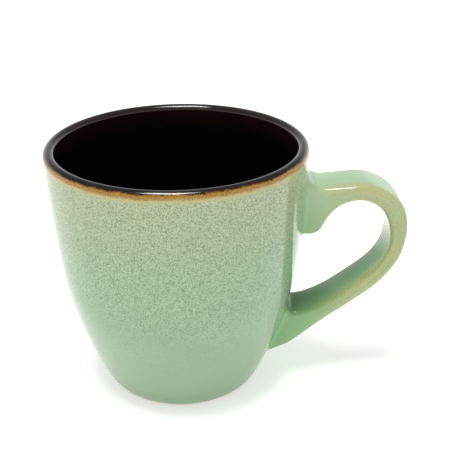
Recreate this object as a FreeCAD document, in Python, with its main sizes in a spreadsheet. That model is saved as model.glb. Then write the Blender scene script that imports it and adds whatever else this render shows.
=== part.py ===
"""Stoneware mug: turned cup, pulled strap handle, slip joints and glaze coats.

The cup stands on its foot ring at z = 0 with its axis on +Z, and the handle
points along +X.  All sizes are in millimetres.
"""
import FreeCAD, Part
import math
import os
import Sketcher

# name, value in mm (or degrees for an angle), what it sets
SIZES = [
    ("cup_height", 100.0, "table to the top of the glazed lip"),
    ("rim_radius", 50.0, "glazed outer radius at the lip"),
    ("upper_belly_taper", 3.5, "how far the wall has drawn in at the upper belly"),
    ("upper_belly_height", 50.0, "height of the upper belly"),
    ("lower_belly_taper", 6.4, "how far the wall has drawn in at the lower belly"),
    ("lower_belly_height", 35.0, "height of the lower belly"),
    ("heel_taper", 17.2, "how far the wall has drawn in at the heel"),
    ("heel_height", 5.0, "height of the heel above the table"),
    ("foot_taper", 21.3, "how far the foot ring's outer edge stands in from the rim"),
    ("wall_upright_rise", 12.0, "height above the lip where the wall's curve would be upright"),
    ("lip_thickness", 4.5, "glazed wall at the lip"),
    ("lip_round", 2.1, "radius of the lip's two rounded corners"),
    ("bowl_taper", 16.3, "how far the inside has drawn in where the floor round starts"),
    ("bowl_height", 18.0, "height where the floor round starts"),
    ("floor_top", 8.0, "clay floor's upper face"),
    ("foot_ring_width", 3.2, "width of the bare ring the cup stands on"),
    ("foot_recess", 2.6, "depth of the recess inside the foot ring"),
    ("bare_foot", 0.9, "bare clay left below the outside glaze"),
    ("glaze_coat", 0.5, "thickness of every glaze coat"),
    ("lip_break", 0.9, "liner glaze laps over the lip to this far below its top"),
    ("break_band", 2.3, "height of the amber band where the two glazes meet"),
    ("slip_coat", 0.8, "thickness of the joining slip"),
    ("handle_top", 84.3, "height of the strap's upper face"),
    ("handle_reach", 38.0, "how far the strap stands out past the rim radius"),
    ("bow_radius", 19.2, "outer bend at the handle's upper right"),
    ("lower_bow_radius", 30.0, "outer bend at the handle's lower right"),
    ("strap_top_thickness", 5.5, "clay strap along the top"),
    ("strap_side_thickness", 5.2, "clay strap at its furthest reach"),
    ("inner_crown_radius", 14.5, "inner bend at the handle's upper left"),
    ("inner_bow_radius", 27.2, "inner bend at the handle's lower right"),
    ("strap_rake", 36.2, "angle of the lower strap below the level, in degrees"),
    ("lower_strap_curve", 80.0, "long curve along the lower strap's upper side"),
    ("root_fillet", 5.5, "thumbed fillet between the strap's top and the wall"),
    ("root_fillet_in", 0.8, "where that fillet leaves the wall, in from the rim radius"),
    ("root_dip", 1.0, "how far the strap's top dips beside the wall"),
    ("root_bed", 3.5, "how far the strap's form runs in past the rim radius"),
    ("upper_tip_height", 64.9, "lower end of the upper root"),
    ("tip_round", 3.8, "rounding of the upper root's lower end"),
    ("tip_reach", 0.8, "centre of that rounding, past the rim radius"),
    ("flare_start", 8.0, "where the lower strap starts to flare, past the rim radius"),
    ("flare_end_in", 4.5, "where the flare ends, in from the rim radius"),
    ("flare_end_rise", 5.0, "where the flare ends, above the lower root's end"),
    ("lower_tip_in", 16.5, "lower end of the lower root, in from the rim radius"),
    ("lower_tip_height", 12.3, "lower end of the lower root"),
    ("lower_crotch_in", 10.0, "upper side of the lower root inside the wall"),
    ("lower_crotch_height", 26.8, "height of that corner"),
    ("strap_width", 18.5, "clay strap's width at its top"),
    ("strap_low_width", 17.0, "clay strap's width at the lower root"),
    ("strap_edge_round", 1.9, "rounding of the strap's four long edges"),
]


class Size:
    """A length that knows its value and the sheet formula that gives it."""

    def __init__(self, value, formula):
        self.value = value
        self.formula = formula

    def __add__(self, other):
        other = as_size(other)
        return Size(self.value + other.value, f"({self.formula} + {other.formula})")

    def __sub__(self, other):
        other = as_size(other)
        return Size(self.value - other.value, f"({self.formula} - {other.formula})")

    def __truediv__(self, other):
        other = as_size(other)
        return Size(self.value / other.value, f"({self.formula} / {other.formula})")

    def least(self, other):
        return Size(min(self.value, other.value), f"min({self.formula}; {other.formula})")


def as_size(number):
    return number if isinstance(number, Size) else Size(float(number), repr(float(number)))


doc = FreeCAD.newDocument("mug")


def make_sheet():
    """Write the sizes into the sheet and return them as Size objects by name."""
    sheet = doc.addObject("Spreadsheet::Sheet", "sizes")
    named = {}
    for row, (name, value, meaning) in enumerate(SIZES, start=1):
        sheet.set(f"A{row}", name)
        sheet.set(f"B{row}", str(value))
        sheet.setAlias(f"B{row}", name)
        sheet.set(f"C{row}", meaning)
        named[name] = Size(value, f"sizes.{name}")
    doc.recompute()
    return named


size = make_sheet()

origin_plane = {"side": "XZ_Plane", "front": "YZ_Plane"}


class Outline:
    """A closed outline on one of a body's own planes, drawn end to end.

    A corner given as Size values is bound to the sheet.  A corner given as a
    guess is only where the drawing starts, and its constraints place it.
    """

    def __init__(self, body, view, name):
        self.sketch = body.newObject("Sketcher::SketchObject", name)
        role = origin_plane[view]
        plane = next(part for part in body.Origin.OriginFeatures if part.Role == role)
        self.sketch.AttachmentSupport = [(plane, "")]
        self.sketch.MapMode = "FlatFace"

    def constrain(self, kind, *items, amount=None):
        values = items if amount is None else items + (amount.value,)
        number = self.sketch.addConstraint(Sketcher.Constraint(kind, *values))
        if amount is not None:
            self.sketch.setExpression(f"Constraints[{number}]", amount.formula)

    def place(self, end, corner):
        """Bind a point to the sheet's values; None leaves that way free."""
        for kind, axis, amount in (("DistanceX", -2, corner[0]), ("DistanceY", -1, corner[1])):
            if amount is None:
                continue
            if as_size(amount).value == 0.0:
                self.constrain("PointOnObject", *end, axis)
            else:
                self.constrain(kind, -1, 1, *end, amount=as_size(amount))

    def start(self, corner):
        self.first_end = None
        self.last_end = None
        self.corner = corner
        self.pen = FreeCAD.Vector(as_size(corner[0]).value, as_size(corner[1]).value, 0)
        self.way = None

    def attach(self, number, corner, guess, tangent, closing):
        """Join a new segment to the last one and bind its far corner."""
        near, far = 1, 2
        if not self.sketch.getPoint(number, 1).isEqual(self.pen, 1e-6):
            near, far = 2, 1
        if self.last_end is None:
            self.place((number, near), self.corner)
            self.first_end = (number, near)
        elif tangent:
            self.constrain("Tangent", *self.last_end, number, near)
        else:
            self.constrain("Coincident", *self.last_end, number, near)
        if closing:
            self.constrain("Coincident", number, far, *self.first_end)
        else:
            self.place((number, far), corner)
        self.last_end = (number, far)
        self.pen = guess

    def far_point(self, corner, guess):
        x, z = (aim if place is None else as_size(place).value
                for place, aim in zip(corner, guess or corner))
        return FreeCAD.Vector(x, z, 0)

    def line(self, *corner, guess=None, tangent=False, heading=None, closing=False):
        if closing:
            corner = self.corner
        end = self.far_point(corner, guess)
        number = self.sketch.addGeometry(Part.LineSegment(self.pen, end))
        self.way = end - self.pen
        self.attach(number, corner, end, tangent, closing)
        if heading is not None:
            turn = self.sketch.addConstraint(
                Sketcher.Constraint("Angle", number, math.radians(heading.value)))
            self.sketch.setExpression(f"Constraints[{turn}]", heading.formula)

    def arc(self, *corner, bulge=None, guess=None, tangent=False, radius=None,
            centre=(None, None)):
        """Draw an arc that bulges by this much to the right of its way.

        With no bulge it is drawn to leave the last segment smoothly.
        """
        end = self.far_point(corner, guess)
        chord = end - self.pen
        right = FreeCAD.Vector(chord.y, -chord.x, 0).normalize()
        if bulge is None:
            turn = math.atan2(self.way.dot(right), self.way.dot(chord) / chord.Length)
            bulge = chord.Length / 2 * math.tan(turn / 2)
        middle = (self.pen + end) / 2 + right * bulge
        number = self.sketch.addGeometry(Part.Arc(self.pen, middle, end))
        turn = 2 * math.atan2(2 * bulge, chord.Length)
        self.way = chord / chord.Length * math.cos(turn) - right * math.sin(turn)
        self.attach(number, corner, end, tangent, False)
        if radius is not None:
            self.constrain("Radius", number, amount=radius)
        self.place((number, 3), centre)


def new_body(label):
    body = doc.addObject("PartDesign::Body", label)
    body.Label = label
    return body


def revolve(body, outline):
    """Turn an outline about the cup's axis."""
    turn = body.newObject("PartDesign::Revolution", body.Label + "_turn")
    turn.Profile = outline.sketch
    turn.ReferenceAxis = (outline.sketch, ["V_Axis"])
    turn.Angle = 360
    doc.recompute()
    return body


# ---- the cup's section --------------------------------------------------

glaze = size["glaze_coat"]
lip_level = size["cup_height"] - size["lip_round"]
upright_level = size["cup_height"] + size["wall_upright_rise"]
ROUND_BULGE = 1 - math.sqrt(0.5)   # of a quarter round, as a share of its radius
ROUND_RATIO = 2.6                  # least bowl radius for the floor round's rise


def wall_point(name, inset):
    out = size["rim_radius"] - size[name + "_taper"] - inset
    if name == "bowl":
        return out, round_start
    return out, size[name + "_height"]


def lip_point(inset):
    return size["rim_radius"] - inset, lip_level


def flat(point):
    """A point's plain values, to draw with."""
    return FreeCAD.Vector(as_size(point[0]).value, as_size(point[1]).value, 0)


def rise_of_arc(start, end, centre):
    """How far an arc stands off its chord."""
    radius = (start - centre).Length
    return radius - math.sqrt(radius ** 2 - (end - start).Length ** 2 / 4)


def smooth_centre(start, end, next_centre):
    """Centre of the arc through two points that runs on smoothly at the end."""
    inward = (next_centre - end).normalize()
    chord = start - end
    return end + inward * (chord.Length ** 2 / (2 * chord.dot(inward)))


def wall_centres(inset, low_points):
    """Centres of the wall's arcs, from the low points up to the lip."""
    points = [flat(point) for point in low_points]
    points += [flat(wall_point("lower_belly", inset)), flat(wall_point("upper_belly", inset))]
    points.append(flat(lip_point(inset)))
    below, lip = points[-2:]
    level = upright_level.value
    squares = (lip.x ** 2 - below.x ** 2 + (lip.y - level) ** 2 - (below.y - level) ** 2)
    centres = [FreeCAD.Vector(squares / (2 * (lip.x - below.x)), level, 0)]
    for start, end in reversed(list(zip(points[:-2], points[1:-1]))):
        centres.insert(0, smooth_centre(start, end, centres[0]))
    return points, centres


def wall_bulges(inset, low_points):
    points, centres = wall_centres(inset, low_points)
    return [rise_of_arc(*arc) for arc in zip(points, points[1:], centres)]


def heel_points(inset):
    """Foot and heel of an outer surface; the foot ring's edge is the clay's."""
    return [(foot_edge + (glaze - inset), 0), wall_point("heel", inset)]


def foot_and_wall_up(outline, inset):
    """Foot ring's edge to the lip, on a surface this far inside the outer glaze."""
    bulges = wall_bulges(inset, heel_points(inset))
    outline.arc(*wall_point("heel", inset), bulge=bulges[0])
    finish_wall_up(outline, inset, bulges[1:])


def finish_wall_up(outline, inset, bulges):
    outline.arc(*wall_point("lower_belly", inset), bulge=bulges[0], tangent=True)
    outline.arc(*wall_point("upper_belly", inset), bulge=bulges[1], tangent=True)
    outline.arc(*lip_point(inset), bulge=bulges[2], tangent=True, centre=(None, upright_level))


def wall_down(outline, inset, low_name):
    """Lip to the named low point, on a surface this far inside the outer glaze."""
    first = wall_bulges(inset, [wall_point(low_name, inset)])[-1]
    outline.arc(*wall_point("upper_belly", inset), bulge=-first, centre=(None, upright_level))
    outline.arc(*wall_point("lower_belly", inset), tangent=True)
    outline.arc(*wall_point(low_name, inset), tangent=True)


def over_lip(outline, end, inward):
    """One rounded corner of the lip; inward is the way from outside to inside."""
    side = 1 if inward else -1
    bulge = side * ROUND_BULGE * size["lip_round"].value
    outline.arc(*end, bulge=bulge, centre=(None, lip_level))


def floor_round(outline, inset, downward):
    """The bowl's round between its wall and its floor, with the floor's line."""
    level = floor_level(inset)
    bowl = wall_point("bowl", inset)
    points, centres = wall_centres(inset, [bowl])
    inward = (centres[0] - points[0]).normalize()
    radius = (points[0].y - level.value) / (1 - inward.y)
    centre = points[0] + inward * radius
    floor_end = FreeCAD.Vector(centre.x, level.value, 0)
    if downward:
        outline.arc(None, level, guess=(floor_end.x, level.value), tangent=True)
        outline.line(0, level, tangent=True)
    else:
        bulge = rise_of_arc(floor_end, points[0], centre)
        outline.line(None, level, guess=(floor_end.x, level.value))
        outline.arc(*bowl, bulge=bulge, tangent=True)
        finish_wall_up(outline, inset, wall_bulges(inset, [bowl]))


def floor_level(inset):
    """The floor under a wall surface: clay at the clay's inset, glaze above it."""
    return size["floor_top"] + (inset - clay_inside)


outermost = as_size(0)
clay_inside = size["lip_thickness"] - glaze
# the floor round starts lower in a bowl that is too narrow for all of it
bowl_half = size["rim_radius"] - size["bowl_taper"] - clay_inside
round_start = size["bowl_height"].least(size["floor_top"] + bowl_half / ROUND_RATIO)
foot_edge = size["rim_radius"] - size["foot_taper"]
foot_inner = foot_edge - size["foot_ring_width"]
lip_outer_corner = size["rim_radius"] - size["lip_round"]
lip_inner_corner = size["rim_radius"] - size["lip_thickness"] + size["lip_round"]


def make_cup_body():
    body = new_body("cup_body")
    outline = Outline(body, "side", "cup_section")
    clay_top = size["cup_height"] - glaze
    outline.start((0, size["foot_recess"]))
    outline.line(foot_inner, size["foot_recess"])
    outline.line(foot_inner, 0)
    outline.line(foot_edge, 0)
    foot_and_wall_up(outline, glaze)
    over_lip(outline, (lip_outer_corner, clay_top), inward=True)
    outline.line(lip_inner_corner, clay_top)
    over_lip(outline, lip_point(clay_inside), inward=True)
    wall_down(outline, clay_inside, "bowl")
    floor_round(outline, clay_inside, downward=True)
    outline.line(closing=True)
    return revolve(body, outline)


def make_inside_coat():
    """The black glaze on the bowl, as far as the crown of the lip."""
    body = new_body("inside_coat")
    outline = Outline(body, "side", "inside_section")
    inside = size["lip_thickness"]
    outline.start((lip_inner_corner, size["cup_height"]))
    over_lip(outline, lip_point(inside), inward=True)
    wall_down(outline, inside, "bowl")
    floor_round(outline, inside, downward=True)
    outline.line(0, size["floor_top"])
    floor_round(outline, clay_inside, downward=False)
    over_lip(outline, (lip_inner_corner, size["cup_height"] - glaze), inward=False)
    outline.line(closing=True)
    return revolve(body, outline)


def make_outside_coat():
    """The glaze round the outside, from the table to the crown of the lip."""
    body = new_body("outside_coat")
    outline = Outline(body, "side", "outside_section")
    outline.start((foot_edge, 0))
    foot_and_wall_up(outline, glaze)
    over_lip(outline, (lip_outer_corner, size["cup_height"] - glaze), inward=True)
    outline.line(lip_inner_corner, size["cup_height"] - glaze)
    outline.line(lip_inner_corner, size["cup_height"])
    outline.line(lip_outer_corner, size["cup_height"])
    over_lip(outline, lip_point(outermost), inward=False)
    wall_down(outline, outermost, "heel")
    outline.arc(foot_edge + glaze, 0, tangent=True)
    outline.line(closing=True)
    return revolve(body, outline)


def make_wall_form(label, inset):
    """A filled solid with the wall's outside at this inset, to trim others by."""
    body = new_body(label)
    outline = Outline(body, "side", label + "_section")
    outline.start((0, 0))
    outline.line(*heel_points(inset)[0])
    foot_and_wall_up(outline, inset)
    outline.line(0, lip_level)
    outline.line(closing=True)
    return revolve(body, outline)


# ---- the handle ---------------------------------------------------------

def on_circle(centre, radius, degrees):
    """A point on a circle, by its angle from level, as a place to start drawing."""
    angle = math.radians(degrees)
    spoke = FreeCAD.Vector(math.cos(angle), math.sin(angle), 0) * radius.value
    end = flat(centre) + spoke
    return end.x, end.y


def crossing_line(first, first_radius, second, second_radius, side):
    """Ends of the line that touches two circles and passes between them."""
    way = flat(second) - flat(first)
    reach = first_radius.value + second_radius.value
    lean = math.degrees(math.acos(reach / way.Length))
    heading = math.degrees(math.atan2(way.y, way.x)) + side * lean
    return (on_circle(first, first_radius, heading),
            on_circle(second, second_radius, heading + 180))


def touching_point(start, radius, centre, centre_radius):
    """Where an arc from a point runs on into a smaller round that it encloses."""
    way = flat(start) - flat(centre)
    gap = radius.value - centre_radius.value
    lean = math.acos((gap ** 2 + way.Length ** 2 - radius.value ** 2) / (2 * gap * way.Length))
    heading = math.degrees(math.atan2(way.y, way.x) - lean)
    return on_circle(centre, centre_radius, heading + 180)


def draw_strap_side(outline):
    """The handle's side outline, from the wall over the bow and back again."""
    rim = size["rim_radius"]
    bed = rim - size["root_bed"]
    shoulder = size["handle_top"] - size["root_dip"] + size["root_fillet"]
    bow_level = size["handle_top"] - size["bow_radius"]
    reach = rim + size["handle_reach"]
    inner_reach = reach - size["strap_side_thickness"]
    inner_radius = size["bow_radius"] - size["strap_top_thickness"]
    bow_centre = (reach - size["bow_radius"], bow_level)
    lower_bow_centre = (reach - size["lower_bow_radius"], bow_level)
    inner_bow_centre = (inner_reach - size["inner_bow_radius"], bow_level)
    inner_centre = (inner_reach - inner_radius, bow_level)
    crown_top = bow_level + inner_radius
    crown_centre = (inner_centre[0], crown_top - size["inner_crown_radius"])
    fillet_centre = (rim - size["root_fillet_in"] + size["root_fillet"], shoulder)
    tip_centre = (rim + size["tip_reach"], size["upper_tip_height"] + size["tip_round"])
    flare_start = rim + size["flare_start"]
    flare_end = (rim - size["flare_end_in"], size["lower_tip_height"] + size["flare_end_rise"])
    crotch = (rim - size["lower_crotch_in"], size["lower_crotch_height"])

    # over the top and round the outside of the bow
    fillet_end, top_end = crossing_line(
        fillet_centre, size["root_fillet"], bow_centre, size["bow_radius"], -1)
    outline.start((bed, shoulder))
    outline.line(rim - size["root_fillet_in"], shoulder)
    outline.arc(None, None, guess=fillet_end, bulge=size["root_fillet"].value * ROUND_BULGE,
                radius=size["root_fillet"], centre=(None, shoulder))
    outline.line(None, None, guess=top_end, tangent=True)
    outline.arc(reach, bow_level, tangent=True,
                radius=size["bow_radius"], centre=(None, bow_level))
    strap_heading = size["strap_rake"] - 180
    rake = size["strap_rake"].value
    bow_end = on_circle(lower_bow_centre, size["lower_bow_radius"], rake - 90)
    drop = (bow_end[0] - flare_start.value) * math.tan(math.radians(rake))
    outline.arc(None, None, guess=bow_end, tangent=True, radius=size["lower_bow_radius"])
    outline.line(flare_start, None, guess=(flare_start.value, bow_end[1] - drop),
                 tangent=True, heading=strap_heading)
    # the root flares, rounds under and beds in the wall
    outline.arc(*flare_end, tangent=True)
    outline.arc(rim - size["lower_tip_in"], size["lower_tip_height"], tangent=True)
    outline.line(*crotch)
    # back along the inside of the bow to the curled tip of the upper root
    strap_end = touching_point(
        crotch, size["lower_strap_curve"], inner_bow_centre, size["inner_bow_radius"])
    chord = FreeCAD.Vector(*strap_end) - flat(crotch)
    curve = size["lower_strap_curve"].value
    outline.arc(None, None, guess=strap_end, radius=size["lower_strap_curve"],
                bulge=curve - math.sqrt(curve ** 2 - chord.Length ** 2 / 4))
    outline.arc(inner_reach, bow_level, tangent=True,
                radius=size["inner_bow_radius"], centre=(None, bow_level))
    outline.arc(None, None, guess=on_circle(inner_centre, inner_radius, 90),
                tangent=True, radius=inner_radius)
    crown_end, tip_start = crossing_line(
        crown_centre, size["inner_crown_radius"], tip_centre, size["tip_round"], -1)
    outline.arc(None, None, guess=crown_end, tangent=True,
                radius=size["inner_crown_radius"], centre=(inner_centre[0], None))
    outline.line(None, None, guess=tip_start, tangent=True)
    outline.arc(None, None, guess=on_circle(tip_centre, size["tip_round"], -90),
                tangent=True, radius=size["tip_round"], centre=tip_centre)
    outline.line(bed, size["upper_tip_height"], tangent=True)
    outline.line(closing=True)


def make_handle_form():
    """The whole strap before it is trimmed to the wall."""
    body = new_body("handle_side")
    side = Outline(body, "side", "strap_side")
    draw_strap_side(side)
    pad = body.newObject("PartDesign::Pad", "strap_pad")
    pad.Profile = side.sketch
    pad.Midplane = True
    spare = size["strap_width"] + size["strap_width"]
    pad.setExpression("Length", spare.formula)
    doc.recompute()

    # one side is cut to the strap's taper and rounded
    front = Outline(body, "front", "strap_front")
    high = size["handle_top"] + size["root_fillet"]
    low = size["lower_tip_height"] - size["strap_edge_round"]
    half_high, half_low, far = (as_size(0) - width / 2 for width in (
        size["strap_width"], size["strap_low_width"], spare))
    front.start((half_high, high))
    front.line(half_low, low)
    front.line(far, low)
    front.line(far, high)
    front.line(closing=True)
    taper = body.newObject("PartDesign::Pocket", "strap_taper")
    taper.Profile = front.sketch
    taper.Type = "ThroughAll"
    taper.Midplane = True
    doc.recompute()

    # the long edges are smooth chains, so one edge of each leads the round
    bow_level = (size["handle_top"] - size["bow_radius"]).value
    chosen = []
    for number, edge in enumerate(taper.Shape.Edges, start=1):
        low_end, high_end = sorted(corner.Z for corner in edge.Vertexes)
        near_side = all(corner.Y > half_high.value - 1 for corner in edge.Vertexes)
        cut_side = all(corner.Y < 0 for corner in edge.Vertexes)
        if abs(low_end - bow_level) < 0.001 and high_end > bow_level and cut_side and near_side:
            chosen.append(f"Edge{number}")
    rounding = body.newObject("PartDesign::Fillet", "strap_rounding")
    rounding.Base = (taper, chosen)
    rounding.setExpression("Radius", size["strap_edge_round"].formula)
    doc.recompute()

    # the strap is what this form and its mirror image share
    mirrored = part_feature("Mirroring", "handle_form_mirrored", Source=body)
    mirrored.Base = FreeCAD.Vector(0, 0, 0)
    mirrored.Normal = FreeCAD.Vector(0, 1, 0)
    return common("handle_form", body, mirrored)


# ---- joining, trimming and splitting ------------------------------------

def part_feature(kind, label, **links):
    feature = doc.addObject("Part::" + kind, label)
    feature.Label = label
    for name, value in links.items():
        setattr(feature, name, value)
    return feature


def cut(label, base, *tools):
    """Take the tools away from the base, one after another."""
    for number, tool in enumerate(tools, start=1):
        step = label if number == len(tools) else f"{label}_less_{tool.Label}"
        base = part_feature("Cut", step, Base=base, Tool=tool)
    return base


def common(label, first, second):
    return part_feature("Common", label, Base=first, Tool=second)


def disc(label, radius, bottom, height):
    """A round slab on the cup's axis."""
    slab = part_feature("Cylinder", label)
    slab.setExpression("Radius", radius.formula)
    slab.setExpression("Height", height.formula)
    slab.setExpression("Placement.Base.z", bottom.formula)
    return slab


def make_glaze_on_cup(inside_coat, outside_coat, handle_form):
    """Liner over the lip, amber break below it, outer glaze down to the bare foot."""
    beyond = size["rim_radius"] + size["handle_reach"]
    break_top = size["cup_height"] - size["lip_break"]
    break_bottom = break_top - size["break_band"]
    over_break = disc("over_break", beyond, break_top, size["cup_height"] - break_bottom)
    lap = common("liner_lap", outside_coat, over_break)
    liner = part_feature("Fuse", "liner_glaze", Base=inside_coat, Tool=lap)
    band_slab = disc("break_slab", beyond, break_bottom, size["break_band"])
    band = common("rim_break_band", outside_coat, band_slab)
    outside_slab = disc("outside_slab", beyond, size["bare_foot"], break_bottom - size["bare_foot"])
    outside = common("outside_full", outside_coat, outside_slab)
    outer = cut("outer_glaze", outside, handle_form)
    foot_glaze = disc("underside_glaze", foot_inner, size["foot_recess"] - glaze, glaze)
    return [liner, band, outer, foot_glaze]


def make_handle_parts(handle_form):
    """The strap trimmed to the wall, the slip it is stuck with and its glaze."""
    clay_wall = make_wall_form("clay_wall", glaze)
    slip_wall = make_wall_form("slip_wall", glaze - size["slip_coat"])
    glazed_wall = make_wall_form("glazed_wall", outermost)
    handle = cut("handle", handle_form, slip_wall)
    in_slip = common("root_in_slip", handle_form, slip_wall)
    slip = cut("root_slip", in_slip, clay_wall)
    beyond = size["rim_radius"] + size["handle_reach"]
    upper_half = disc("upper_half", beyond, size["upper_belly_height"], size["cup_height"])
    lower_half = disc("lower_half", beyond, as_size(0), size["upper_belly_height"])
    upper_slip = common("upper_slip_joint", slip, upper_half)
    lower_slip = common("lower_slip_joint", slip, lower_half)
    coat_form = part_feature("Offset", "handle_coat_form", Source=handle_form)
    coat_form.Mode = "Skin"
    coat_form.Join = "Arc"
    coat_form.setExpression("Value", glaze.formula)
    handle_glaze = cut("handle_glaze", coat_form, handle_form, glazed_wall)
    return [handle, upper_slip, lower_slip, handle_glaze]


def check_and_write(nodes):
    """Refuse a failed object or a bad shape, then write each node's solid."""
    doc.recompute()
    for item in doc.Objects:
        if "Invalid" in item.State or "Error" in item.State:
            raise RuntimeError(f"{item.Label} failed: {item.State}")
    os.makedirs("parts", exist_ok=True)
    for node in nodes:
        shape = node.Shape
        if shape.isNull() or not shape.isValid() or len(shape.Solids) == 0:
            raise RuntimeError(f"{node.Label} has no valid solid")
        print(node.Label, len(shape.Solids), "solid,", round(shape.Volume), "mm3")
    for node in nodes:
        node.Shape.exportStep(f"parts/{node.Label}.step")


cup_body = make_cup_body()
handle_form = make_handle_form()
nodes = [cup_body]
nodes += make_handle_parts(handle_form)
nodes += make_glaze_on_cup(make_inside_coat(), make_outside_coat(), handle_form)
check_and_write(nodes)
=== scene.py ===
import math

import bmesh
import bpy
from mathutils import Matrix, Vector


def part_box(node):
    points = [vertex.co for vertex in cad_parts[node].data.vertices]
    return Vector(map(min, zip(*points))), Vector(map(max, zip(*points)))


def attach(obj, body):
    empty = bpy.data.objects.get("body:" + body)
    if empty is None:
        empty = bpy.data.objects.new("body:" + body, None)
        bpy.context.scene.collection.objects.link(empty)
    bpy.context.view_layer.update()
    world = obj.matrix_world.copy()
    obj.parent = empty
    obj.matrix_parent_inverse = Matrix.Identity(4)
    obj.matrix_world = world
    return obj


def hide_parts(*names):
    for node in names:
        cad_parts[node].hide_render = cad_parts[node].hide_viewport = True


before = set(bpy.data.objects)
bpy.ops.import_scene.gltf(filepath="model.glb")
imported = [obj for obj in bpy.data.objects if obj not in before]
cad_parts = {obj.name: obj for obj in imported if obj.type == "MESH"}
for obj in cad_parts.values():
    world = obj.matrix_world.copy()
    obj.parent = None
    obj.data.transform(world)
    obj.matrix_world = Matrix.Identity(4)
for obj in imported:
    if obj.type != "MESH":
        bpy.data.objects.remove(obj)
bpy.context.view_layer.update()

MM = 0.001

# ---- sizes, in metres, in the mug's own frame ----------------------------

CUP_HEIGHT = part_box("liner_glaze")[1].z
RIM_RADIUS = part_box("rim_break_band")[1].x
BREAK_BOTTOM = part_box("rim_break_band")[0].z
BREAK_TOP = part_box("rim_break_band")[1].z
BARE_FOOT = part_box("outer_glaze")[0].z
FLOOR_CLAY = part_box("liner_glaze")[0].z

GLAZE = 0.5 * MM
UPPER_BELLY = (RIM_RADIUS - 3.5 * MM, 50 * MM)
LOWER_BELLY = (RIM_RADIUS - 6.4 * MM, 35 * MM)
HEEL = (RIM_RADIUS - 17.2 * MM, 5 * MM)
FOOT_EDGE = (RIM_RADIUS - 20.8 * MM, 0.0)
BOWL = (RIM_RADIUS - 11.8 * MM, 18 * MM)
UPRIGHT_HEIGHT = CUP_HEIGHT + 12 * MM
LIP_THICKNESS = 4.5 * MM
LIP_ROUND = 2.1 * MM
LIP_LEVEL = CUP_HEIGHT - LIP_ROUND

TURN_STEPS = 240          # round the cup
FINE = 1.0 * MM           # point spacing on glazed faces
COARSE = 6.0 * MM         # and on faces that lie against the clay
FLOOR_STEPS = 6           # in along the flat of the bowl's floor
SMOOTH_UP_TO = math.radians(40)


# ---- arcs of the cup's section --------------------------------------------

class Arc:
    """A stretch of a circle in the section's plane, from low to high angle."""

    def __init__(self, centre, start, end):
        self.centre = centre
        self.radius = math.dist(centre, start)
        self.first = math.atan2(start[1] - centre[1], start[0] - centre[0])
        self.last = math.atan2(end[1] - centre[1], end[0] - centre[0])

    def point(self, angle):
        x, z = self.centre
        return x + self.radius * math.cos(angle), z + self.radius * math.sin(angle)

    def points(self, count):
        """Points from start towards end, without the end itself."""
        step = (self.last - self.first) / count
        return [self.point(self.first + step * n) for n in range(count)]


def level_centre(start, end, height):
    """Centre at a given height of a circle through two points."""
    gap = (end[0] ** 2 - start[0] ** 2 + (end[1] - height) ** 2 - (start[1] - height) ** 2)
    return gap / (2 * (end[0] - start[0])), height


def smooth_centre(start, end, next_centre):
    """Centre of the circle through two points that runs on smoothly at the end."""
    along = Vector((next_centre[0] - end[0], next_centre[1] - end[1])).normalized()
    chord = Vector((start[0] - end[0], start[1] - end[1]))
    radius = chord.length_squared / (2 * chord.dot(along))
    return end[0] + along.x * radius, end[1] + along.y * radius


def inset(point, depth):
    return point[0] - depth, point[1]


def wall_arcs(depth, low_points):
    """Arcs of the wall's section, lowest first, this far inside the outer glaze."""
    points = [inset(point, depth) for point in low_points + [LOWER_BELLY, UPPER_BELLY]]
    points.append((RIM_RADIUS - depth, LIP_LEVEL))
    centre = level_centre(points[-2], points[-1], UPRIGHT_HEIGHT)
    arcs = [Arc(centre, points[-2], points[-1])]
    for number in range(len(points) - 3, -1, -1):
        centre = smooth_centre(points[number], points[number + 1], centre)
        arcs.insert(0, Arc(centre, points[number], points[number + 1]))
    return arcs


OUTSIDE = wall_arcs(0, [FOOT_EDGE, HEEL])


def wall_radius(height):
    """Outer radius of the glazed wall at a height."""
    for arc in OUTSIDE:
        top = arc.point(arc.last)[1]
        if height <= top or arc is OUTSIDE[-1]:
            rise = height - arc.centre[1]
            return arc.centre[0] + math.sqrt(max(arc.radius ** 2 - rise ** 2, 0))


# ---- making meshes ---------------------------------------------------------

def deselect():
    if bpy.context.object and bpy.context.object.mode != "OBJECT":
        bpy.ops.object.mode_set(mode="OBJECT")
    bpy.ops.object.select_all(action="DESELECT")


def lathe(name, section):
    """Turn a closed section, points of (radius, height), about the cup's axis."""
    deselect()
    first = section[0]
    bpy.ops.mesh.primitive_plane_add(size=MM, location=(first[0], 0, first[1]))
    piece = bpy.context.object
    piece.name = piece.data.name = name
    bpy.ops.object.transform_apply(location=True)
    bpy.ops.object.mode_set(mode="EDIT")
    bpy.ops.mesh.select_all(action="SELECT")
    bpy.ops.mesh.merge(type="CENTER")
    for here, there in zip(section, section[1:] + section[:1]):
        step = (there[0] - here[0], 0, there[1] - here[1])
        bpy.ops.mesh.extrude_vertices_move(TRANSFORM_OT_translate={"value": step})
    bpy.ops.mesh.select_all(action="SELECT")
    bpy.ops.mesh.spin(steps=TURN_STEPS, angle=math.tau, center=(0, 0, 0), axis=(0, 0, 1))
    finish_closed(piece)
    return piece


def finish_closed(piece):
    """Merge the seams, point the faces outwards and smooth all but the corners."""
    bpy.ops.mesh.select_all(action="SELECT")
    bpy.ops.mesh.remove_doubles(threshold=0.001 * MM)
    bpy.ops.mesh.normals_make_consistent(inside=False)
    bpy.ops.object.mode_set(mode="OBJECT")
    bpy.ops.object.shade_smooth_by_angle(angle=SMOOTH_UP_TO)


def arc_run(centre, radius, first, last, count):
    """Points along a round, angles in degrees, both ends included."""
    turn = [math.radians(first + (last - first) * n / count) for n in range(count + 1)]
    return [(centre[0] + radius * math.cos(a), centre[1] + radius * math.sin(a)) for a in turn]


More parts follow.
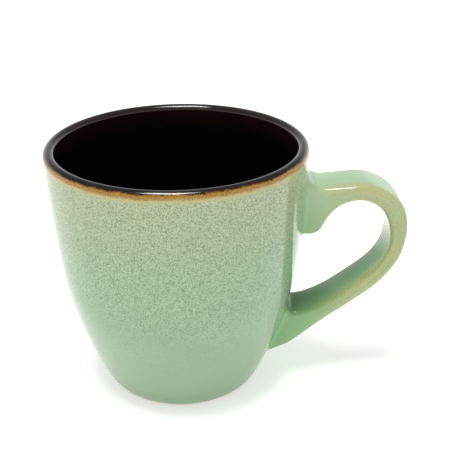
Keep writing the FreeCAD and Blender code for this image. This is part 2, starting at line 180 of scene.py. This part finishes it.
def wall_run(depth, low_points, low, high, spacing):
    """Points up the wall between two heights, on a surface this far inside."""
    run = []
    for arc in wall_arcs(depth, low_points):
        count = max(2, round(arc.radius * abs(arc.last - arc.first) / spacing))
        run += arc.points(count)
    run.append((RIM_RADIUS - depth, LIP_LEVEL))
    kept = [point for point in run if low < point[1] < high]
    ends = [(radius_at(run, height), height) for height in (low, high)]
    return [ends[0]] + kept + [ends[1]]


def radius_at(run, height):
    """Radius at a height on a run of points that climbs."""
    for below, above in zip(run, run[1:]):
        if below[1] <= height <= above[1]:
            share = (height - below[1]) / max(above[1] - below[1], 1e-9)
            return below[0] + (above[0] - below[0]) * share
    return run[-1][0]


LIP_OUT = (RIM_RADIUS - LIP_ROUND, LIP_LEVEL)
LIP_IN = (RIM_RADIUS - LIP_THICKNESS + LIP_ROUND, LIP_LEVEL)
BREAK_ANGLE = math.degrees(math.asin((BREAK_TOP - LIP_LEVEL) / LIP_ROUND))

def clay_break_angle():
    return math.degrees(math.asin((BREAK_TOP - LIP_LEVEL) / (LIP_ROUND - GLAZE)))


def make_outer_glaze():
    outside = wall_run(0, [FOOT_EDGE, HEEL], BARE_FOOT, BREAK_BOTTOM, FINE)
    clay = wall_run(GLAZE, [FOOT_EDGE, HEEL], BARE_FOOT, BREAK_BOTTOM, COARSE)
    # the coat's lower edge is a soft bead
    bead = [(clay[0][0] + GLAZE * 0.55, BARE_FOOT + GLAZE * 0.02),
            (clay[0][0] + GLAZE * 0.90, BARE_FOOT + GLAZE * 0.25)]
    above_bead = [point for point in outside if point[1] > BARE_FOOT + GLAZE * 0.6]
    return lathe("outer_glaze_coat", clay[::-1] + bead + above_bead)


def make_break_band():
    outside = wall_run(0, [FOOT_EDGE, HEEL], BREAK_BOTTOM, LIP_LEVEL, FINE / 3)
    outside += arc_run(LIP_OUT, LIP_ROUND, 0, BREAK_ANGLE, 8)[1:]
    clay = wall_run(GLAZE, [FOOT_EDGE, HEEL], BREAK_BOTTOM, LIP_LEVEL, COARSE)
    clay += arc_run(LIP_OUT, LIP_ROUND - GLAZE, 0, clay_break_angle(), 5)[1:]
    return lathe("amber_break_band", outside + clay[::-1])


def make_liner():
    inside_depth = LIP_THICKNESS
    clay_depth = LIP_THICKNESS - GLAZE
    over = arc_run(LIP_OUT, LIP_ROUND, BREAK_ANGLE, 90, 18)
    over += arc_run(LIP_IN, LIP_ROUND, 90, 180, 24)
    down = wall_run(inside_depth, [BOWL], BOWL[1], LIP_LEVEL, FINE)[::-1][1:]
    down += floor_round(inside_depth, FLOOR_CLAY + GLAZE, 24)
    back = floor_round(clay_depth, FLOOR_CLAY, 10)[::-1]
    back += wall_run(clay_depth, [BOWL], BOWL[1], LIP_LEVEL, COARSE)[1:]
    back += arc_run(LIP_IN, LIP_ROUND - GLAZE, 180, 90, 6)[1:]
    back += arc_run(LIP_OUT, LIP_ROUND - GLAZE, 90, clay_break_angle(), 6)
    return lathe("black_liner_coat", over + down + back)


def floor_round(depth, level, count):
    """From the bowl point down the round, and in along the floor to the axis."""
    wall = wall_arcs(depth, [BOWL])[0]
    start = inset(BOWL, depth)
    along = Vector((wall.centre[0] - start[0], wall.centre[1] - start[1])).normalized()
    radius = (start[1] - level) / (1 - along.y)
    centre = (start[0] + along.x * radius, start[1] + along.y * radius)
    first = math.degrees(math.atan2(start[1] - centre[1], start[0] - centre[0]))
    run = arc_run(centre, radius, first, -90, count)[1:]
    run += [(centre[0] * (1 - n / FLOOR_STEPS), level) for n in range(1, FLOOR_STEPS + 1)]
    return run


# ---- the strap handle ------------------------------------------------------

# glazed side outline of the strap, upper root to lower root, in mm: past the
# rim radius and above the table, first on its outer side, then on its inner
STRAP_SIDE = [
    ((2.0, 84.7), (1.2, 64.4)),
    ((4.9, 83.9), (4.3, 66.0)),
    ((8.6, 84.0), (6.7, 70.4)),
    ((12.1, 84.3), (8.8, 73.6)),
    ((15.6, 84.6), (12.0, 76.3)),
    ((19.0, 84.9), (16.0, 77.9)),
    ((23.8, 84.4), (20.3, 78.3)),
    ((29.3, 82.1), (24.9, 76.9)),
    ((34.2, 78.6), (28.4, 74.0)),
    ((37.4, 73.4), (30.8, 69.6)),
    ((38.6, 67.0), (32.0, 64.5)),
    ((38.2, 60.3), (32.0, 59.5)),
    ((36.4, 53.7), (30.7, 54.9)),
    ((32.5, 47.1), (27.8, 50.0)),
    ((27.2, 41.1), (22.6, 44.8)),
    ((15.8, 32.0), (11.0, 36.2)),
    ((10.1, 27.9), (5.5, 33.0)),
    ((4.0, 23.1), (0.8, 31.0)),
    ((-3.0, 17.4), (-2.4, 30.2)),
    ((-7.2, 14.3), (-3.8, 30.0)),
]
UPPER_ROOT = ((-0.5, 86.4), (-2.4, 64.6))
LOWER_ROOT = ((-14.2, 11.3), (-8.0, 29.8))
STRAP_WIDTH = 19.7
STRAP_LOW_WIDTH = 18.2
STRAP_WIDE_AT, STRAP_NARROW_AT = 90.7, 9.8   # heights of those two widths
STRAP_EDGE = 2.5
STRAP_CROWN = 0.25
RINGS_PER_STATION = 6
FACE_STEPS = 10
SIDE_STEPS = 6
EDGE_STEPS = 8
SKIRT_STEPS = 9
SKIRT_SHARE = 0.92        # most of the way to the wall that a fillet takes up
SKIRT_RUN_ON = 0.35 * MM  # last ring, on along the wall and into it
SKIRT_SINK = 0.3 * MM


def between(before, start, end, after, share):
    """A point on the smooth curve through four numbers, from the second to the third."""
    return 0.5 * (2 * start + (end - before) * share
                  + (2 * before - 5 * start + 4 * end - after) * share ** 2
                  + (3 * start - before - 3 * end + after) * share ** 3)


def smooth_rows(rows, steps):
    """Rows of numbers with this many steps put between each two."""
    padded = [rows[0]] + rows + [rows[-1]]
    fine = []
    for number in range(len(rows) - 1):
        four = padded[number:number + 4]
        for step in range(steps):
            fine.append([between(*column, step / steps) for column in zip(*four)])
    return fine + [list(rows[-1])]


def section_points(thickness, width, edge):
    """Rounded oblong: (towards outer side, across, how thin the glaze is) in turn."""
    half, wide = thickness / 2, width / 2
    edge = min(edge, half * 0.96)
    flat, side = half - edge, wide - edge
    points = []
    for quarter, (up, across) in enumerate(((1, 1), (-1, 1), (-1, -1), (1, -1))):
        start = 90 * quarter
        for step in range(EDGE_STEPS):
            turn = math.radians(start + 90 * step / EDGE_STEPS)
            points.append((up * flat + edge * math.cos(turn),
                           across * side + edge * math.sin(turn), 1.0))
        turn = math.radians(start + 90)
        steps, thin = (SIDE_STEPS, 0.75) if quarter % 2 == 0 else (FACE_STEPS, 0.0)
        next_up, next_across = ((-1, 1), (-1, -1), (1, -1), (1, 1))[quarter]
        for step in range(steps):
            share = step / steps
            rise = STRAP_CROWN * 4 * share * (1 - share)
            edge_up = up + (next_up - up) * share
            edge_across = across + (next_across - across) * share
            points.append((edge_up * flat + (edge + rise) * math.cos(turn),
                           edge_across * side + (edge + rise) * math.sin(turn),
                           1 - (1 - thin) * min(1, 6 * share * (1 - share))))
    return points


def strap_ring(row, inner):
    """Points round the strap where a row of the side outline says."""
    outer_x, outer_z, inner_x, inner_z, width = row
    outer_side = Vector((outer_x, 0, outer_z))
    inner_side = Vector((inner_x, 0, inner_z))
    middle = (outer_side + inner_side) / 2
    up = (outer_side - inner_side).normalized()
    across = Vector((0, 1, 0))
    depth = GLAZE / MM if inner else 0
    thickness = (outer_side - inner_side).length - 2 * depth
    ring = []
    for rise, aside, thin in section_points(thickness, width - 2 * depth, STRAP_EDGE - depth):
        place = (middle + up * rise + across * aside) * MM
        place.x += RIM_RADIUS
        ring.append((place, thin))
    return ring


def wall_normal(place):
    """Outward normal of the glazed wall nearest to a point."""
    step = 0.1 * MM
    slope = (wall_radius(place.z + step) - wall_radius(place.z - step)) / (2 * step)
    level = Vector((place.x, place.y, 0)).normalized()
    return Vector((level.x, level.y, -slope)).normalized()


def wall_gap(place):
    """How far a point stands off the glazed wall."""
    reach = math.hypot(place.x, place.y) - wall_radius(place.z)
    return reach * math.hypot(wall_normal(place).x, wall_normal(place).y)


def meet_wall(place, way):
    """Distance along a way from a point to the glazed wall."""
    travelled = 0.0
    for _ in range(30):
        travelled += wall_gap(place + way * travelled) / max(-way.dot(wall_normal(place)), 0.2)
    return travelled


def root_skirt(base, wall_ring, radii, steps):
    """Rings from the strap's last ring to the wall, spreading into it in a fillet."""
    middle = sum((place for place, _ in base), Vector()) / len(base)
    axis = (wall_ring[0][0] + wall_ring[len(base) // 2][0] - base[0][0]
            - base[len(base) // 2][0]).normalized()
    rings = [[] for _ in range(steps + 2)]
    for number, (place, thin) in enumerate(base):
        way = (wall_ring[number][0] - place).normalized()
        before = base[number - 1][0]
        after = base[(number + 1) % len(base)][0]
        out = axis.cross(after - before).normalized()
        if out.dot(place - middle) < 0:
            out = -out
        length = meet_wall(place, way)
        corner = place + way * length
        normal = wall_normal(corner)
        spread = (way * out.dot(normal) - out * way.dot(normal)).normalized()
        opening = math.acos(max(-1.0, min(1.0, -way.dot(spread))))
        radius = min(radii(out) * MM, SKIRT_SHARE * length * math.tan(opening / 2))
        run = radius / math.tan(opening / 2)
        start, end = corner - way * run, corner + spread * run
        centre = corner + (spread - way).normalized() * (radius / math.sin(opening / 2))
        first, last = start - centre, end - centre
        sweep = first.angle(last)
        lift = wall_gap(end)
        for step in range(steps + 1):
            share = step / steps
            aim = (first * math.sin((1 - share) * sweep) + last * math.sin(share * sweep))
            point = centre + aim / math.sin(sweep) - normal * lift * share ** 2
            rings[step].append((point, thin * (1 - share)))
        rings[-1].append((end + spread * SKIRT_RUN_ON - normal * (lift + SKIRT_SINK), 0.0))
    return rings


def upper_radii(out):
    """Fillet radius in mm at the upper root: wide on top and tight beneath."""
    return 3.2 + 2.8 * max(out.z, 0) ** 2 - 2.0 * max(-out.z, 0) ** 2


def lower_radii(out):
    """Fillet radius in mm at the lower root, a little wider above and beneath."""
    return 3.5 + 0.5 * max(out.z, 0) ** 2 + 0.5 * max(-out.z, 0) ** 2


def strap_row(outer_side, inner_side):
    """A row of the side outline with the strap's width at its height."""
    height = (outer_side[1] + inner_side[1]) / 2
    share = (height - STRAP_NARROW_AT) / (STRAP_WIDE_AT - STRAP_NARROW_AT)
    return (*outer_side, *inner_side, STRAP_LOW_WIDTH + (STRAP_WIDTH - STRAP_LOW_WIDTH) * share)


def make_handle_coat():
    rows = [strap_row(*sides) for sides in STRAP_SIDE]
    upper, lower = strap_row(*UPPER_ROOT), strap_row(*LOWER_ROOT)
    fine = smooth_rows(rows, RINGS_PER_STATION)
    outside = [strap_ring(row, False) for row in fine]
    start = root_skirt(outside[0], strap_ring(upper, False), upper_radii, SKIRT_STEPS)
    end = root_skirt(outside[-1], strap_ring(lower, False), lower_radii, SKIRT_STEPS)
    inside = [strap_ring(row, True) for row in smooth_rows([upper] + rows + [lower], 2)]
    rings = start[::-1] + outside + end + inside[::-1]

    deselect()
    bpy.ops.mesh.primitive_circle_add(vertices=len(rings[0]), radius=STRAP_WIDTH / 2 * MM)
    piece = bpy.context.object
    piece.name = piece.data.name = "handle_glaze_coat"
    bpy.ops.object.mode_set(mode="EDIT")
    form = bmesh.from_edit_mesh(piece.data)
    around = form.verts.layers.int.new("around")
    form.verts.layers.float.new("thin")
    for vertex in form.verts:
        vertex[around] = vertex.index
    place_ring(piece, rings[0])
    for ring in rings[1:] + rings[:1]:
        bpy.ops.mesh.extrude_edges_move()
        place_ring(piece, ring)
    bpy.ops.mesh.select_all(action="SELECT")
    finish_closed(piece)
    return piece


def place_ring(piece, ring):
    """Move the selected ring of points to its place on the strap."""
    form = bmesh.from_edit_mesh(piece.data)
    around = form.verts.layers.int["around"]
    glaze_thin = form.verts.layers.float["thin"]
    for vertex in form.verts:
        if vertex.select:
            vertex.co, vertex[glaze_thin] = ring[vertex[around]]


# ---- materials -------------------------------------------------------------

def colour(red, green, blue):
    """A colour from display values of 0 to 255, as light."""
    light = [((part / 255 + 0.055) / 1.055) ** 2.4 if part > 10 else part / 255 / 12.92
             for part in (red, green, blue)]
    return (*light, 1.0)


class Wire:
    """A socket's value, which takes arithmetic."""

    def __init__(self, finish, socket):
        self.finish = finish
        self.socket = socket

    def math(self, operation, first, second=0.0):
        return self.finish.node("Math", {"operation": operation}, {0: first, 1: second})

    def __add__(self, other):
        return self.math("ADD", self, other)

    def __sub__(self, other):
        return self.math("SUBTRACT", self, other)

    def __rsub__(self, other):
        return self.math("SUBTRACT", other, self)

    def __mul__(self, other):
        return self.math("MULTIPLY", self, other)

    def __truediv__(self, other):
        return self.math("DIVIDE", self, other)

    def __pow__(self, other):
        return self.math("POWER", self, other)

    __radd__ = __add__
    __rmul__ = __mul__


class Finish:
    """A material being made, round one Principled shader."""

    def __init__(self, name, **constants):
        self.material = bpy.data.materials.new(name)
        self.material.use_nodes = True
        self.tree = self.material.node_tree
        self.shader = self.tree.nodes["Principled BSDF"]
        for name, constant in constants.items():
            self.shader.inputs[name.replace("_", " ")].default_value = constant
        self.place = self.node("TexCoord", output="Object")
        across = self.node("SeparateXYZ", inputs={0: self.place})
        split = across.socket.node
        self.x, self.y, self.z = (Wire(self, out) for out in split.outputs)

    def node(self, kind, settings=None, inputs=None, output=0):
        made = self.tree.nodes.new("ShaderNode" + kind)
        for name, setting in (settings or {}).items():
            setattr(made, name, setting)
        for name, value in (inputs or {}).items():
            self.feed(made.inputs[name], value)
        return Wire(self, made.outputs[output])

    def feed(self, socket, value):
        if isinstance(value, Wire):
            self.tree.links.new(value.socket, socket)
        else:
            socket.default_value = value

    def noise(self, size, detail=2.0, rough=0.5, twist=0.0, seed=0.0):
        """Smooth noise from 0 to 1 with patches of about this size."""
        inputs = {"Vector": self.place, "W": seed, "Scale": 1 / size, "Detail": detail,
                  "Roughness": rough, "Distortion": twist}
        return self.node("TexNoise", {"noise_dimensions": "4D"}, inputs)

    def ramp(self, value, low, high):
        """0 below the low value, 1 above the high one and smooth between."""
        settings = {"interpolation_type": "SMOOTHSTEP"}
        inputs = {"Value": value, "From Min": low, "From Max": high}
        return self.node("MapRange", settings, inputs)

    def mix(self, first, second, share):
        return self.node("Mix", {"data_type": "RGBA"}, {0: share, 6: first, 7: second}, 2)

    def set(self, **values):
        for name, value in values.items():
            self.feed(self.shader.inputs[name.replace("_", " ")], value)

    def bump(self, height, depth, strength=1.0):
        inputs = {"Height": height, "Distance": depth, "Strength": strength}
        self.set(Normal=self.node("Bump", None, inputs))


SAGE = colour(147, 179, 143)
SAGE_DEEP = colour(131, 157, 125)
SAND = colour(171, 182, 146)
STRAP_SAGE = colour(120, 169, 116)
# paler sage painted onto the strap's upper part: painted light from the overhead lamp
STRAP_PAINTED_LIGHT = colour(152, 180, 146)
STRAP_SAND = colour(170, 170, 120)
SPECKLE = colour(62, 84, 54)
AMBER = colour(158, 118, 42)
GOLD = colour(184, 170, 104)
BURNT = colour(58, 30, 14)
LINER = colour(6, 6, 8)
# dark brown for the inside's upper wall: a painted reflection of the surroundings
LINER_PAINTED_REFLECTION = colour(26, 15, 12)
CLAY = colour(150, 112, 78)
SLIP = colour(176, 164, 128)


def fleck_mask(finish, share):
    """Fine squiggly flecks, as many as the share says."""
    return finish.ramp(finish.noise(0.38 * MM, 1, 0.5, 1.2), 0.5, 0.6) * share


def outside_colour(finish):
    """Sage, sandy where it runs thin towards the lip, and speckled but for the foot."""
    height = finish.z / MM
    patches = finish.noise(22 * MM, 2)
    base = finish.mix(SAGE_DEEP, SAGE, finish.ramp(height + (patches - 0.5) * 30, 22, 58))
    sandy = finish.ramp(height + (patches - 0.5) * 30, 45, 99)
    base = finish.mix(base, SAND, sandy)
    share = finish.ramp(height + (patches - 0.5) * 26, 18, 60) * 0.66 + 0.08
    return finish.mix(base, SPECKLE, fleck_mask(finish, share))


def strap_colour(finish):
    """Sage, paler towards the strap's top as painted light from overhead, with the glaze thin
    and sandy on the strap's sides and edges.
    """
    mark = finish.node("Attribute", {"attribute_name": "thin"}, output="Fac")
    patches = finish.noise(7 * MM, 3, 0.6)
    thin = mark * (finish.ramp(patches, 0.25, 0.6) * 0.5 + 0.45)
    thin = thin * (finish.ramp(finish.x, RIM_RADIUS, RIM_RADIUS + 16 * MM) * 0.75 + 0.25)
    # the strap turns paler towards its top: painted light from overhead, not a colour of the
    # glaze
    base = finish.mix(STRAP_SAGE, STRAP_PAINTED_LIGHT, finish.ramp(finish.z / MM, 62, 84))
    base = finish.mix(base, STRAP_SAND, thin)
    return finish.mix(base, SPECKLE, fleck_mask(finish, thin * 0.3 + 0.03))


def lip_colour(finish, base):
    """The amber break under the lip, burnt brown above it, then black liner."""
    height = finish.z / MM
    wander = finish.noise(9 * MM, 3, 0.6) - 0.5
    grain = finish.noise(0.7 * MM, 2, 0.6) - 0.5
    edge = height + wander * 2.2 + grain * 1.4
    base = finish.mix(base, GOLD, finish.ramp(edge, 95.2, 97.4) * 0.8)
    base = finish.mix(base, AMBER, finish.ramp(edge, 96.8, 98.2))
    base = finish.mix(base, BURNT, fleck_mask(finish, finish.ramp(edge, 97.0, 98.2) * 0.55))
    base = finish.mix(base, BURNT, finish.ramp(edge, 98.8, 99.4))
    return finish.mix(base, LINER, finish.ramp(edge, 99.3, 99.7))


def liner_colour(finish):
    height = finish.z / MM
    # browner towards the rim on the inside: painted reflection of the surroundings laid over
    # the black liner
    brown = finish.ramp(height + (finish.noise(12 * MM, 2) - 0.5) * 8, 88, 99)
    return finish.mix(LINER, LINER_PAINTED_REFLECTION, brown)


def glaze_finish(name, kind):
    """One of the glazes: outside, strap or the liner."""
    finish = Finish(name, Roughness=0.1, IOR=1.5)
    if kind == "strap":
        finish.set(Base_Color=strap_colour(finish))
    elif kind == "outside":
        finish.set(Base_Color=lip_colour(finish, outside_colour(finish)))
    else:
        radius = (finish.x ** 2 + finish.y ** 2) ** 0.5
        inside = 1 - finish.ramp(radius, RIM_RADIUS - 3.6 * MM, RIM_RADIUS - 2.2 * MM)
        lip = lip_colour(finish, SAND)
        finish.set(Base_Color=finish.mix(lip, liner_colour(finish), inside))
    finish.bump(finish.noise(7 * MM, 1), 0.06 * MM)
    return finish.material


def clay_finish(name):
    finish = Finish(name)
    grain = finish.noise(0.5 * MM, 3, 0.6)
    finish.set(Base_Color=finish.mix(CLAY, colour(118, 80, 52), finish.ramp(grain, 0.4, 0.65)),
               Roughness=0.75 + grain * 0.15)
    finish.bump(grain, 0.05 * MM)
    return finish.material


def slip_finish(name):
    finish = Finish(name)
    grain = finish.noise(0.8 * MM, 3, 0.6)
    finish.set(Base_Color=finish.mix(SLIP, CLAY, finish.ramp(grain, 0.4, 0.7)),
               Roughness=0.8 + grain * 0.1)
    finish.bump(grain, 0.04 * MM)
    return finish.material


def paint(piece, material):
    piece.data.materials.clear()
    piece.data.materials.append(material)


def paint_node(name, material):
    """Give a CAD node's own slots a new material."""
    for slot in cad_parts[name].material_slots:
        slot.material = material


# ---- the pieces in their places --------------------------------------------

def add_piece(piece, node, material):
    paint(piece, material)
    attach(piece, "root")
    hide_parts(node)


add_piece(make_outer_glaze(), "outer_glaze",
          glaze_finish("sage_glaze", "outside"))
add_piece(make_break_band(), "rim_break_band",
          glaze_finish("amber_break_glaze", "outside"))
add_piece(make_liner(), "liner_glaze",
          glaze_finish("black_liner_glaze", "liner"))
add_piece(make_handle_coat(), "handle_glaze", glaze_finish("strap_glaze", "strap"))
paint_node("underside_glaze", glaze_finish("underside_glaze", "outside"))
clay = clay_finish("bare_clay")
paint_node("cup_body", clay)
paint_node("handle", clay)
slip = slip_finish("joining_slip")
paint_node("upper_slip_joint", slip)
paint_node("lower_slip_joint", slip)


# ---- floor, light and camera -------------------------------------------------

def make_floor():
    deselect()
    bpy.ops.mesh.primitive_plane_add(size=6.0)
    floor = bpy.context.object
    floor.name = "floor"
    finish = Finish("pale_floor", Base_Color=(0.85, 0.86, 0.85, 1), Roughness=0.7,
                    Emission_Color=(1, 1, 1, 1), Emission_Strength=0.48)
    paint(floor, finish.material)


def make_world(low, high):
    """White surroundings near the floor's level, dimmer overhead."""
    world = bpy.data.worlds.new("white_surroundings")
    world.use_nodes = True
    tree = world.node_tree
    back = tree.nodes["Background"]
    place = tree.nodes.new("ShaderNodeTexCoord")
    split = tree.nodes.new("ShaderNodeSeparateXYZ")
    fade = tree.nodes.new("ShaderNodeMapRange")
    fade.interpolation_type = "SMOOTHSTEP"
    tree.links.new(place.outputs["Generated"], split.inputs[0])
    tree.links.new(split.outputs["Z"], fade.inputs["Value"])
    limits = {"From Min": 0.15, "From Max": 0.5, "To Min": low, "To Max": high}
    for name, value in limits.items():
        fade.inputs[name].default_value = value
    tree.links.new(fade.outputs[0], back.inputs["Strength"])
    back.inputs["Color"].default_value = (1, 1, 1, 1)
    bpy.context.scene.world = world


def add_panel(name, place, target, size, watts):
    light = bpy.data.lights.new(name, "AREA")
    light.shape = "RECTANGLE"
    light.size, light.size_y = size
    light.energy = watts
    panel = bpy.data.objects.new(name, light)
    panel.location = place
    panel.rotation_euler = (Vector(target) - Vector(place)).to_track_quat("-Z", "Y").to_euler()
    bpy.context.collection.objects.link(panel)


def add_camera():
    """A camera in front of the mug, looking down at it."""
    lens = bpy.data.cameras.new("camera")
    lens.lens, lens.sensor_width = 68.0, 36.0
    lens.clip_start = 0.01
    camera = bpy.data.objects.new("camera", lens)
    down, aside, tilt, turned = (math.radians(a) for a in (25.34, 3.12, -1.947, 3.0))
    ahead = Vector((0, math.cos(down), -math.sin(down)))
    up = Vector((0, math.sin(down), math.cos(down)))
    right = Vector((1, 0, 0))
    look = ahead * math.cos(aside) + right * math.sin(aside)
    level = right * math.cos(aside) - ahead * math.sin(aside)
    screen_right = level * math.cos(tilt) + up * math.sin(tilt)
    screen_up = up * math.cos(tilt) - level * math.sin(tilt)
    axes = Matrix((screen_right, screen_up, -look)).transposed()
    place = -ahead * 338.2 * MM + Vector((0, 0, 64.1 * MM))
    turn = Matrix.Rotation(turned, 3, "Z")
    camera.matrix_world = Matrix.Translation(turn @ place) @ (turn @ axes).to_4x4()
    bpy.context.collection.objects.link(camera)
    bpy.context.scene.camera = camera


make_floor()
make_world(1.15, 0.35)
add_panel("overhead", (-0.07, -0.12, 0.95), (0, 0, 0.05), (0.36, 0.36), 8.5)
add_camera()
bpy.context.scene.view_settings.view_transform = "Standard"

bpy.context.view_layer.update()
